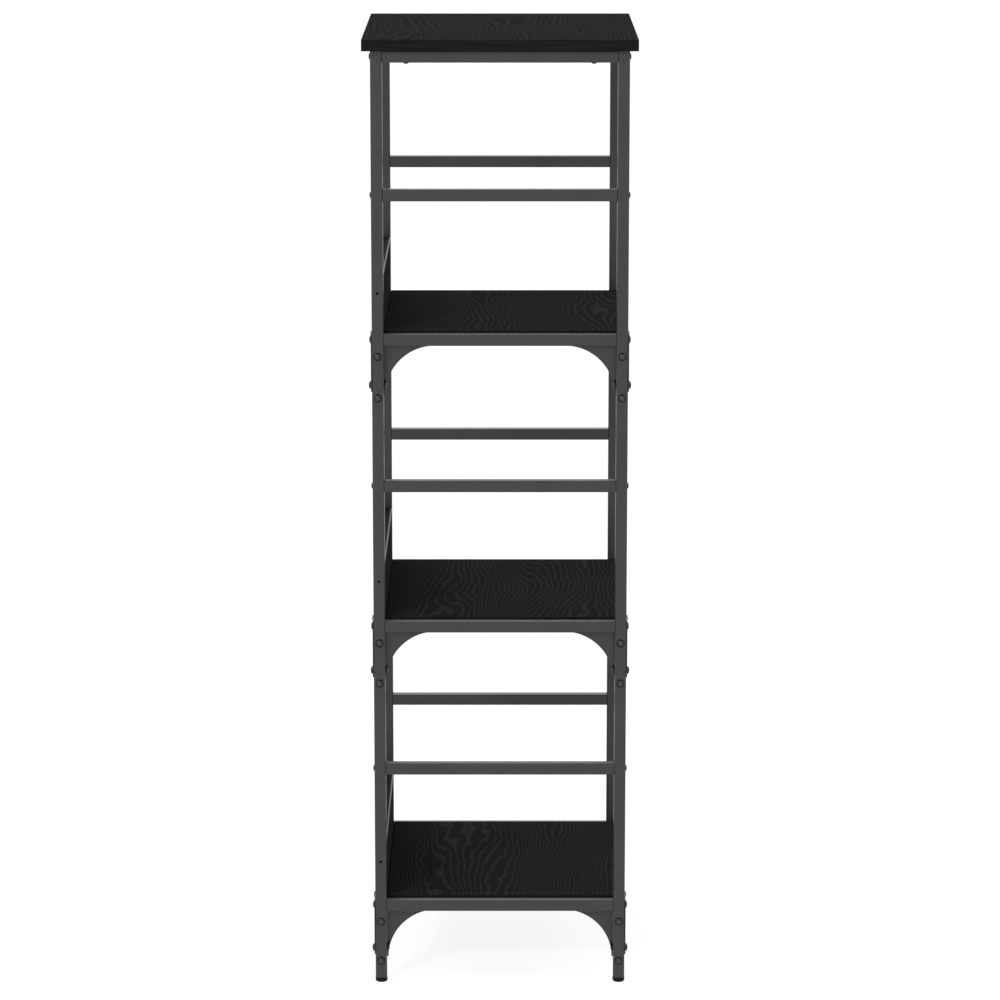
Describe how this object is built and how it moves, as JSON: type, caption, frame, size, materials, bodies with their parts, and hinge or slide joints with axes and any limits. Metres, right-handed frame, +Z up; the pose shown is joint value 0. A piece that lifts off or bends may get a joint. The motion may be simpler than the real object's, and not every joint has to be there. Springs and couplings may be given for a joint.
{
  "type": "bookcase",
  "caption": "Narrow open bookcase: square steel tube frame with arched corner gussets, black board shelves and top, low back boards and levelling feet.",
  "frame": {"origin": "on the floor, midway between the four feet", "axes": "+Z up, +X towards the open front, +Y towards the right-hand side as seen from the front"},
  "size_m": [0.35, 0.4, 1.2445],
  "materials": {
    "black_metal": "satin",
    "black_board": "satin",
    "black_plastic": "matte"
  },
  "bodies": {
    "frame": {"back_board_1": "black_board", "back_board_2": "black_board", "back_board_3": "black_board", "back_rail_1": "black_metal", "back_rail_2": "black_metal", "back_rail_3": "black_metal", "corner_plate_back_left_1": "black_metal", "corner_plate_back_left_2": "black_metal", "corner_plate_back_left_3": "black_metal", "corner_plate_back_right_1": "black_metal", "corner_plate_back_right_2": "black_metal", "corner_plate_back_right_3": "black_metal", "corner_plate_front_left_1": "black_metal", "corner_plate_front_left_2": "black_metal", "corner_plate_front_left_3": "black_metal", "corner_plate_front_right_1": "black_metal", "corner_plate_front_right_2": "black_metal", "corner_plate_front_right_3": "black_metal", "foot_plug_back_left": "black_plastic", "foot_plug_back_right": "black_plastic", "foot_plug_front_left": "black_plastic", "foot_plug_front_right": "black_plastic", "front_rail_1": "black_metal", "front_rail_2": "black_metal", "front_rail_3": "black_metal", "post_back_left": "black_metal", "post_back_right": "black_metal", "post_front_left": "black_metal", "post_front_right": "black_metal", "shelf_1": "black_board", "shelf_2": "black_board", "shelf_3": "black_board", "side_bar_left_1": "black_metal", "side_bar_left_2": "black_metal", "side_bar_left_3": "black_metal", "side_bar_right_1": "black_metal", "side_bar_right_2": "black_metal", "side_bar_right_3": "black_metal", "side_rail_left_1": "black_metal", "side_rail_left_2": "black_metal", "side_rail_left_3": "black_metal", "side_rail_right_1": "black_metal", "side_rail_right_2": "black_metal", "side_rail_right_3": "black_metal", "top_board": "black_board", "top_rail_back": "black_metal", "top_rail_front": "black_metal", "top_rail_left": "black_metal", "top_rail_right": "black_metal"},
    "foot_back_left": {"levelling_foot_back_left": "black_plastic"},
    "foot_back_right": {"levelling_foot_back_right": "black_plastic"},
    "foot_front_left": {"levelling_foot_front_left": "black_plastic"},
    "foot_front_right": {"levelling_foot_front_right": "black_plastic"}
  },
  "joints": [
    {"name": "foot_level_back_left", "type": "slide", "parent": "frame", "child": "foot_back_left", "axis": [0, 0, -1], "range_m": [0, 0.01]},
    {"name": "foot_level_back_right", "type": "slide", "parent": "frame", "child": "foot_back_right", "axis": [0, 0, -1], "range_m": [0, 0.01]},
    {"name": "foot_level_front_left", "type": "slide", "parent": "frame", "child": "foot_front_left", "axis": [0, 0, -1], "range_m": [0, 0.01]},
    {"name": "foot_level_front_right", "type": "slide", "parent": "frame", "child": "foot_front_right", "axis": [0, 0, -1], "range_m": [0, 0.01]}
  ]
}
